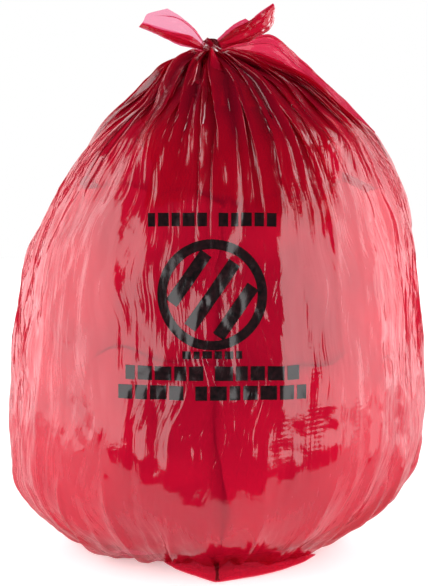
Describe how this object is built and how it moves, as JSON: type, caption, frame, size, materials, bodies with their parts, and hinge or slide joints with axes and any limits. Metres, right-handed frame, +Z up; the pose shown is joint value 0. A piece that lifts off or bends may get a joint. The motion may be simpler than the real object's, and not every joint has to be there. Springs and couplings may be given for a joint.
{
  "type": "tied waste bag",
  "caption": "Full, translucent red plastic-film waste bag, gathered and knotted at the top with its own two ears, standing on its sealed base.",
  "frame": {"origin": "middle of the flat patch the bag stands on, on the floor", "axes": "+Z up to the knot, the printed front faces -Y, +X to the right seen from the front"},
  "size_m": [0.389, 0.3422, 0.501],
  "materials": {
    "film": "gloss",
    "ink": "satin",
    "waste": "matte"
  },
  "bodies": {
    "bag": {"film_body": "film", "gathered_neck": "film", "shoulder_flap": "film", "seal_tail": "film", "print_mark": "ink", "print_row_arc": "ink", "print_row_small": "ink", "print_row_upper": "ink", "print_row_lower": "ink", "waste_bundle_low_left": "waste", "waste_bundle_low_right": "waste", "waste_bundle_mid_left": "waste", "waste_bundle_mid_right": "waste", "waste_bundle_top": "waste"},
    "knot": {"knot": "film"},
    "ear_left": {"ear_left": "film"},
    "ear_right": {"ear_right": "film"}
  },
  "joints": [
    {"name": "knot_lean", "type": "hinge", "parent": "bag", "child": "knot", "pos_m": [-0.004, 0, 0.461], "axis": [0, 1, 0], "range_deg": [-12, 12]},
    {"name": "ear_left_flop", "type": "hinge", "parent": "knot", "child": "ear_left", "pos_m": [-0.019, 0, 0.462], "axis": [0, 1, 0], "range_deg": [-30, 45]},
    {"name": "ear_right_flop", "type": "hinge", "parent": "knot", "child": "ear_right", "pos_m": [0.011, 0, 0.466], "axis": [0, -1, 0], "range_deg": [-40, 35]}
  ]
}
